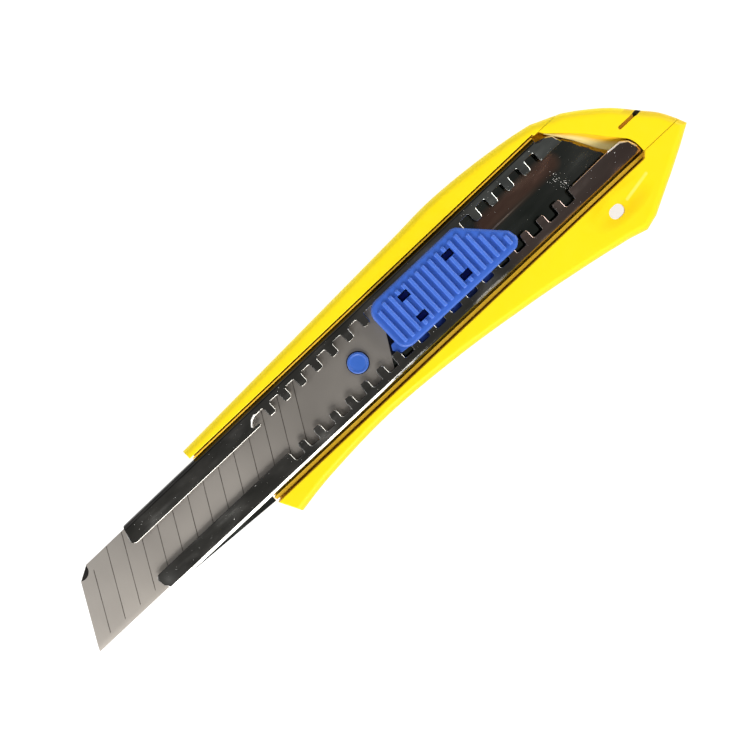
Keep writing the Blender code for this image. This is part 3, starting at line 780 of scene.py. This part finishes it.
def make_handle():
    shell = piece("handle_shell_skin", loft(handle_outline(), shell_profile(6.15)), YELLOW)
    trough = [
        (40.0, TROUGH_LOWER_Y - 0.25),
        (179.2, TROUGH_LOWER_Y),
        (180.45, CAP_LOWER_Y - 0.08),
        (200.0, CAP_LOWER_Y - 0.08),
        (200.0, CAP_UPPER_Y + 0.08),
        (164.0, CAP_UPPER_Y + 0.08),
        (164.0, TROUGH_UPPER_Y),
        (40.0, TROUGH_UPPER_Y),
    ]
    radii = [0, 0.9, 0.5, 0, 0, 0.27, 0.25, 0]
    combine(shell, flared(rounded(trough, radii), TROUGH_FLOOR, HANDLE_TOP, 0.2))
    combine(shell, scoop())
    combine(shell, lanyard_hole())
    soften(shell, 0.0)
    stand_in(shell, "handle", "handle_shell")

    top = 5.85
    profile = [(0.0, 2.2), (0.12, 1.5), (0.45, 1.0), (1.0, 0.6), (1.8, 0.3), (2.8, 0.15), (5.5, 0.1)]
    profile.append((top, 0.25))
    back = piece("handle_back_skin", loft(handle_outline(), profile), YELLOW)
    combine(back, loft(handle_outline(4), [(2.0, 2.4), (7.0, 2.0)], 1.0))
    combine(back, prism(circle(167.3, -17.0, 4.5), 1.0, top), "UNION")
    places = [(74.0, -14.6, 12.6), (98.0, -13.6, 13.4), (122.0, -15.2, 14.1), (146.0, -18.7, 14.1)]
    ribs = [box((x, low, 1.0), (x + 1.2, high, top)) for x, low, high in places]
    combine(back, merged(ribs), "UNION")
    combine(back, lanyard_hole())
    soften(back, 0.15, 2, 40)
    stand_in(back, "handle", "handle_back")


def make_liner():
    outline = [
        (52.2, 10.2),
        (60.2, -11.15),
        (180.0, -11.15),
        (180.0, -10.3),
        (178.0, -10.3),
        (178.0, -5.6),
        (165.8, 8.4),
        (163.4, 9.9),
        (163.4, 10.2),
    ]
    liner = piece("rail_liner_skin", prism(outline, 7.6, 12.6), AMBER)
    combine(liner, box((40.0, -10.35, 8.3), (200.0, 9.86, CLEAR)))
    soften(liner, 0.1, 3, 40)
    stand_in(liner, "handle", "rail_liner")


# The cap's front edge, from the handle's spine to its heel
CAP_FRONT = [
    (165.9, 9.9),
    (166.7, 8.8),
    (169.6, 6.2),
    (172.9, 2.9),
    (175.6, -0.4),
    (178.0, -3.2),
    (179.9, -5.4),
    (180.65, -7.7),
    (180.7, CAP_LOWER_Y),
]


def make_cap():
    cap = piece("end_cap_skin", loft(handle_outline(), shell_profile(7.6)), YELLOW)
    curve = curve_through(CAP_FRONT, 6) + [CAP_FRONT[-1]]
    ahead = [(20.0, -40.0), (20.0, 40.0), (166.2, 40.0)] + curve + [(180.7, -40.0)]
    combine(cap, flared(ahead, 0.0, HANDLE_TOP, 0.45))
    combine(cap, box((20.0, CAP_UPPER_Y, 0.0), (200.0, 40.0, CLEAR)))
    combine(cap, box((20.0, -40.0, 0.0), (200.0, CAP_LOWER_Y, CLEAR)))
    combine(cap, flared(slot_outline(194.4, SNAP_SLOT_Y, 30.0, SNAP_SLOT_WIDTH), 12.2, HANDLE_TOP, 0.1))
    soften(cap, 0.0)
    stand_in(cap, "cap", "end_cap")

    ramp = piece("end_cap_ramp", cap_ramp(), CREAM)
    soften(ramp, 0.0)
    goes_with(ramp, "cap")


def cap_ramp():
    """The sloping foot of the cap's front, which widens towards the heel."""
    front = curve_through(CAP_FRONT[1:7], 6) + [CAP_FRONT[6]]
    rings = []
    for i, point in enumerate(front):
        before, after = front[max(i - 1, 0)], front[min(i + 1, len(front) - 1)]
        way = (Vector(after) - Vector(before)).normalized()
        ahead = Vector((way.y, -way.x))
        if ahead.x > 0:
            ahead = -ahead
        share = i / (len(front) - 1)
        widest = 0.2 + 4.6 * share - 3.6 * share**6
        slope = [(-0.5, 8.0), (-0.5, 13.3)]
        for step in range(9):
            t = step / 8
            slope.append((widest * t**1.6 + 0.01, 13.3 - 4.95 * t))
        places = [(Vector(point) + ahead * reach, z) for reach, z in slope]
        rings.append([(place.x, place.y, z) for place, z in places])
    return rings_to_mesh(rings)


# ---------------------------------------------------------------- rail


# The lips' rear ends: corners with their radii
LOWER_TAIL = [
    ((173.6, -4.5), 1.0),
    ((177.9, -4.7), 1.5),
    ((179.5, -6.0), 1.2),
    ((180.2, -8.2), 1.0),
    ((180.1, -RAIL_HALF), 0.5),
]
UPPER_TAIL = [
    ((163.3, 8.7), 0.4),
    ((164.1, 8.35), 0.4),
    ((165.6, 8.1), 0.8),
    ((167.2, 7.2), 0.7),
    ((167.6, 5.8), 0.4),
]


def rail_section():
    """The rail's outer section. The lower side's fold starts with a gentle slope."""
    corners = rectangle(-RAIL_HALF, RAIL_BOTTOM, RAIL_HALF, RAIL_TOP)[:3]
    corners += [(-8.95, RAIL_TOP), (-RAIL_HALF, 12.38)]
    return rounded(corners, [1.35, 1.35, 1.35, 0.8, 0.3], 8)


def lip_edge(tip, blind, fronts):
    """One lip's inner edge from front to rear, as corners with radii. Each notch widens at its mouth."""
    side = 1 if blind > tip else -1
    found = []
    for front, rear in fronts:
        found += [
            ((front - 0.3, tip), 0.3),
            ((front, tip + side * 0.6), 0.3),
            ((front, blind), 0.45),
            ((rear, blind), 0.45),
            ((rear, tip + side * 0.6), 0.3),
            ((rear + 0.3, tip), 0.3),
        ]
    return found


def opening():
    """Everything that is open in the rail's top sheet, as one outline: nose, slot, notches and tail."""
    middles = [FIRST_NOTCH_X + i * PITCH for i in range(NOTCH_COUNT)]
    spans = [(middle - NOTCH_HALF, middle + NOTCH_HALF) for middle in middles]
    lower_nose = [((26.5, -RAIL_HALF), 0.9), ((25.2, -7.6), 1.0), ((24.7, LOWER_LIP_Y), 1.5)]
    upper_nose = [((26.2, UPPER_LIP_Y), 1.3), ((NOSE_X, RAIL_HALF), 0.6)]
    rear = FOREMOST_NOTCH[1]
    hook = [
        ((rear + 0.3, UPPER_LIP_Y), 0.3),
        ((rear, UPPER_LIP_Y + 0.6), 0.3),
        ((rear, UPPER_NOTCH_Y), 0.45),
        ((70.4, UPPER_NOTCH_Y), 1.0),
        ((69.1, 6.8), 1.0),
        ((68.3, 6.1), 0.8),
        ((68.0, 5.4), 0.3),
        ((69.9, 5.35), 0.3),
        ((70.1, UPPER_LIP_Y), 0.3),
    ]
    corners = [((10, -15), 0), ((26.5, -15), 0)] + lower_nose
    corners += lip_edge(LOWER_LIP_Y, LOWER_NOTCH_Y, [FOREMOST_NOTCH] + spans) + LOWER_TAIL
    corners += [((180.1, -15), 0), ((200, -15), 0), ((200, 15), 0), ((163.3, 15), 0)]
    corners += UPPER_TAIL + [((168.2, UPPER_LIP_Y), 0.3)]
    corners += lip_edge(UPPER_LIP_Y, UPPER_NOTCH_Y, spans)[::-1] + hook
    corners += upper_nose + [((NOSE_X, 15), 0), ((10, 15), 0)]
    return rounded([point for point, _ in corners], [radius for _, radius in corners], 5)


def bright_edges():
    """Cutters for the wider sloping edges at the lips' rear ends and in the foremost notch."""
    lower = [(174.5, -4.52)] + [point for point, _ in LOWER_TAIL[1:4]]
    lower += [(180.15, -10.8), (186.0, -10.8), (186.0, 0.0), (174.5, 0.0)]
    upper = [point for point, _ in UPPER_TAIL] + [(168.2, 4.9), (175.0, 4.9), (175.0, 12.0), (163.3, 12.0)]
    hook = [(68.3, 5.95), (71.9, 5.95), (71.9, UPPER_NOTCH_Y)]
    hook += [(70.4, UPPER_NOTCH_Y), (69.1, 6.8), (68.3, 6.1)]
    shapes = [
        (rounded(lower, [0, 1.5, 1.2, 1.0, 0, 0, 0, 0]), 0.5),
        (rounded(upper, [0.4, 0.4, 0.8, 0.7, 0.4, 0, 0, 0, 0]), 0.5),
        (rounded(hook, [0, 0, 0, 1.0, 1.0, 0]), 0.45),
    ]
    return [chamfered(shape, 12.0, RAIL_TOP, width, width * 0.58) for shape, width in shapes]


def make_rail():
    rail = piece("rail_sheet", bar(rail_section(), 20.0, 183.0), CHROME)
    combine(rail, bar(rounded(rectangle(-9.35, 9.05, 9.35, 12.35), 0.9, 8), 10.0, 190.0))
    combine(rail, flared(opening(), 11.2, RAIL_TOP, 0.22))
    for cutter in bright_edges():
        combine(rail, cutter)
    nose = [(28.02, RAIL_HALF), (26.9, 6.4), (25.6, 0.0), (24.72, -4.4), (25.2, -7.4), (26.52, -RAIL_HALF)]
    outside = [(26.52, -15.0), (10.0, -15.0), (10.0, 15.0), (28.02, 15.0)]
    combine(rail, prism(rounded(nose + outside, [0.6, 1.5, 1.5, 1.5, 1.5, 1.0, 0, 0, 0, 0]), 0.0, 11.4))
    torn_edge = []
    for i in range(15):
        t = (i + 1) / 16
        x = 168.1 + 5.7 * t + 0.14 * math.sin(5.1 * i)
        y = 6.0 - 10.4 * t + 0.1 * math.sin(3.3 * i)
        torn_edge.append((x, y))
    tail = [(163.28, RAIL_HALF), (163.28, 8.7), (165.6, 8.1), (167.2, 7.1), (167.7, 6.2)] + torn_edge
    tail += [(174.0, -4.7), (177.9, -4.75), (179.5, -6.0), (180.18, -8.2), (180.08, -RAIL_HALF)]
    tail += [(180.08, -15.0), (200.0, -15.0), (200.0, 15.0), (163.28, 15.0)]
    combine(rail, prism(tail, 0.0, 11.4))
    # A thin dark sheet beside the lower fold towards the nose, put there as painted shade
    painted_shade_sheet = [(27.4, -9.0), (27.4, -9.85), (59.0, -11.5), (59.0, -9.0)]
    combine(rail, prism(painted_shade_sheet, 8.7, 8.95), "UNION")
    soften(rail, 0.0)
    stand_in(rail, "handle", "rail")


# ---------------------------------------------------------------- blade


def make_blade():
    rear = 101.9
    spine_rear = rear + (BLADE_SPINE_Y - BLADE_EDGE_Y) * BLADE_LEAN
    corners = [(BLADE_TIP_X, BLADE_EDGE_Y), (rear, BLADE_EDGE_Y)]
    corners += [(spine_rear, BLADE_SPINE_Y), (14.3, BLADE_SPINE_Y), (10.5, 7.1)]
    outline = rounded(corners, [0.0, 0.5, 0.5, 0.2, 0.2])
    blade = piece("blade_steel", prism(outline, BLADE_BOTTOM, BLADE_TOP), BLADE_STEEL)
    bevel_y, beyond = BLADE_EDGE_Y + BEVEL_WIDTH, BLADE_EDGE_Y - 0.2
    for face, away in ((BLADE_TOP, 1.0), (BLADE_BOTTOM, -1.0)):
        middle = 11.25 + 0.03 * away
        wedge = [(beyond, middle), (BLADE_EDGE_Y, middle), (bevel_y, face)]
        wedge += [(bevel_y, face + away), (beyond, face + away)]
        combine(blade, bar(wedge, -5.0, 125.0))
    grooves = []
    for i in range(SCORE_COUNT):
        start = BLADE_TIP_X + FIRST_SCORE + i * PITCH
        vee = [(start - 0.08, BLADE_TOP + 0.03), (start, BLADE_TOP - 0.08), (start + 0.08, BLADE_TOP + 0.03)]
        rings = []
        for far in (BEVEL_WIDTH, 15.8 if i == 0 else 18.6):
            rings.append([(x + far * BLADE_LEAN, BLADE_EDGE_Y + far, z) for x, z in vee])
        grooves.append(rings_to_mesh(rings))
    combine(blade, merged(grooves))
    combine(blade, prism(circle(*STUD, 2.85, 64), 10.0, 13.0))
    combine(blade, prism(circle(*BITE, 2.4, 64), 11.12, 13.0))
    soften(blade, 0.0)
    stand_in(blade, "slider", "blade")
    # A near-black piece fills the bite: painted shade for the dark seen through the notch
    bite = [(x, y) for x, y in circle(*BITE, 2.38, 96) if y < 7.16 + (x - 10.6) * 0.5]
    first = max(range(len(bite)), key=lambda i: math.dist(bite[i - 1], bite[i]))
    mark = piece("blade_bite", prism(bite[first:] + bite[:first], 11.1, 11.46), BLACK)
    soften(mark, 0.05, 2)
    goes_with(mark, "slider")


# ---------------------------------------------------------------- slider


def at_posts(half_x, half_y, low, high):
    """A box at each of the four places where the carrier's posts stand in the thumb pad's holes."""
    boxes = []
    for x in POST_X:
        for y in POST_Y:
            boxes.append(box((x - half_x, y - half_y, low), (x + half_x, y + half_y, high)))
    return boxes


def make_carrier():
    toe = [(106.0, -2.8), (105.3, -4.1), (106.6, -5.9), (109.2, -6.1)]
    body = [(109.6, -9.05), (136.8, -9.05), (137.2, -6.2), (142.3, -4.6), (142.3, -4.0)]
    body += [(132.3, 9.05), (114.3, 9.05), (108.2, -2.7)] + toe
    carrier = piece("blade_carrier_body", prism(rounded(body, 0.3), CARRIER_BOTTOM, CARRIER_TOP), SHADED_BLUE)
    tongue = [(92.2, 0.0), (93.6, -3.0), (98.2, -5.0), (117.2, -5.0), (117.2, 5.0), (98.2, 5.0), (93.6, 3.0)]
    combine(carrier, prism(rounded(tongue, [1.5, 1.5, 1.5, 0, 0, 1.5, 1.5]), CARRIER_BOTTOM, 10.7), "UNION")
    combine(carrier, box((125.25, -12.0, 10.2), (132.05, 12.0, 13.0)))
    neck = [(109.8, -4.0), (140.2, -4.0), (135.2, 4.4), (113.8, 4.4)]
    combine(carrier, prism(rounded(neck, 0.5), 11.9, 13.0), "UNION")
    combine(carrier, merged(at_posts(1.125, 0.6, 12.5, 13.7)), "UNION")
    soften(carrier, 0.15, 2, 40)
    levels = [(9.9, 2.62), (12.1, 2.62), (12.28, 2.55), (12.37, 2.42)]
    levels += [(12.4, 2.28), (12.38, 2.15), (12.24, 1.95), (12.2, 1.75)]
    rings = [[(x, y, z) for x, y in circle(*STUD, radius, 64)] for z, radius in levels]
    stud = piece("blade_carrier_stud", rings_to_mesh(rings), STUD_BLUE)
    soften(stud, 0.0)
    stand_in(carrier, "slider", "blade_carrier")
    outline = rounded([(110.0, -2.7)] + toe + [(110.0, -6.1)], 0.35)
    front = piece("blade_carrier_toe", prism(outline, 11.6, 12.3), BLUE)
    soften(front, 0.12, 3, 40)
    for part in (stud, front):
        goes_with(part, "slider")


PAD_OUTLINE = [(107.3, 7.6), (107.3, -6.25), (143.6, -6.25), (145.3, -4.6), (144.7, -2.0), (135.6, 7.6)]
PAD_RADII = [3.3, 3.1, 1.8, 1.5, 1.5, 2.2]


def dome(low, high, top, base):
    """A rib with a round top, between two corners."""
    outline = rounded(rectangle(*low, *high), 0.3, 4)
    middle = (Vector(low) + Vector(high)) / 2
    rings = [[(x, y, base) for x, y in outline]]
    for i in range(5):
        t = math.radians(22.5 * i)
        pull = 0.32 * (1 - math.cos(t))
        height = top - 0.35 + 0.35 * math.sin(t)
        ring = []
        for x, y in outline:
            dx = max(-pull, min(pull, middle.x - x))
            dy = max(-pull, min(pull, middle.y - y))
            ring.append((x + dx, y + dy, height))
        rings.append(ring)
    return rings_to_mesh(rings)


def make_pad():
    edge = 0.7
    profile = [(PAD_BOTTOM, 0.25), (13.4, 0.08), (13.6, 0.0), (PLATE_TOP - edge, 0.0)]
    for i in range(1, 7):
        t = math.radians(15 * i)
        profile.append((PLATE_TOP - edge * (1 - math.sin(t)), edge * (1 - math.cos(t))))
    pad = piece("thumb_pad_body", loft(rounded(PAD_OUTLINE, PAD_RADII, 8), profile, 1.0), BLUE)
    ribs = []
    for i in range(RIB_COUNT):
        x = 109.5 + i * RIB_PITCH
        near, far = (-4.5, 5.2) if i == 0 else (-4.8, 6.1)
        slanted_end = 141.025 - x
        ribs.append(dome((x - 0.5, near), (x + 0.5, min(far, slanted_end)), RIB_TOP, 15.2))
    combine(pad, merged(ribs), "UNION")
    combine(pad, merged(at_posts(1.425, 0.9, 10.0, CLEAR)))
    soften(pad, 0.06, 2, 45)
    stand_in(pad, "slider", "thumb_pad")


def make_detent():
    leaf = rounded(rectangle(125.65, -8.6, 131.65, 8.6), 0.8)
    spring = piece("detent_leaf", prism(leaf, 11.4, 11.7), SPRING)
    ears = []
    for low, high in ((-6.9, -5.1), (5.2, 7.0)):
        ears.append(prism(rounded(rectangle(127.7, low, 129.6, high), 0.4), 11.5, 12.7))
    combine(spring, merged(ears), "UNION")
    soften(spring, 0.1, 2, 40)
    stand_in(spring, "detent", "detent_spring")


make_handle()
make_liner()
make_cap()
make_rail()
make_blade()
make_carrier()
make_pad()
make_detent()


# ---------------------------------------------------------------- floor, light and camera


def area_light(name, at, aim, size, power, colour=(1, 1, 1)):
    """A rectangular light, in metres and watts."""
    data = bpy.data.lights.new(name, "AREA")
    data.shape = "RECTANGLE"
    data.size, data.size_y = size
    data.energy = power
    data.color = colour
    light = bpy.data.objects.new(name, data)
    light.location = at
    light.rotation_mode = "QUATERNION"
    light.rotation_quaternion = (Vector(aim) - Vector(at)).to_track_quat("-Z", "Y")
    scene.collection.objects.link(light)


def make_stage():
    bm = bmesh.new()
    bmesh.ops.create_grid(bm, x_segments=8, y_segments=8, size=9.0)
    mesh = bpy.data.meshes.new("floor")
    bm.to_mesh(mesh)
    bm.free()
    floor = bpy.data.objects.new("floor", mesh)
    floor.location = (0, 0, -0.0004)
    mesh.materials.append(FLOOR)
    scene.collection.objects.link(floor)
    world = bpy.data.worlds.new("studio")
    world.use_nodes = True
    world.node_tree.nodes["Background"].inputs["Color"].default_value = (1.0, 0.98, 0.94, 1.0)
    world.node_tree.nodes["Background"].inputs["Strength"].default_value = 0.07
    scene.world = world
    area_light("key", (-0.5, -0.75, 0.5), (0, 0, 0), (0.9, 0.6), 14.0, (1.0, 0.98, 0.95))
    area_light("right", (0.95, -0.2, 0.5), (0, 0, 0), (0.8, 0.6), 10.0, (1.0, 0.98, 0.95))
    area_light("back", (0.1, 1.0, 0.7), (0, 0, 0), (1.6, 0.9), 3.0)
    area_light("rear_right", (0.9, 0.6, 0.5), (0.07, 0, 0), (0.6, 0.4), 1.5)
    area_light("left", (-0.95, 0.3, 0.6), (0, 0, 0), (0.8, 0.6), 7.5, (0.97, 0.98, 1.0))


def make_camera():
    """Looks down on the knife from a little ahead of its middle, with the knife running up to the right."""
    forward = Vector((-0.0846, -0.0675, -0.9941)).normalized()
    right = Vector((0.7262, -0.6874, -0.0151))
    right = (right - forward * right.dot(forward)).normalized()
    up = right.cross(forward)
    data = bpy.data.cameras.new("camera")
    data.lens = 61.63
    data.sensor_width = 36.0
    data.clip_start, data.clip_end = 0.01, 20.0
    camera = bpy.data.objects.new("camera", data)
    matrix = Matrix((right, up, -forward)).transposed().to_4x4()
    matrix.translation = (Vector((124.28, 15.40, 318.63)) - CENTRE) * MM
    camera.matrix_world = matrix
    scene.collection.objects.link(camera)
    scene.camera = camera


make_stage()
make_camera()
scene.view_settings.view_transform = "Standard"
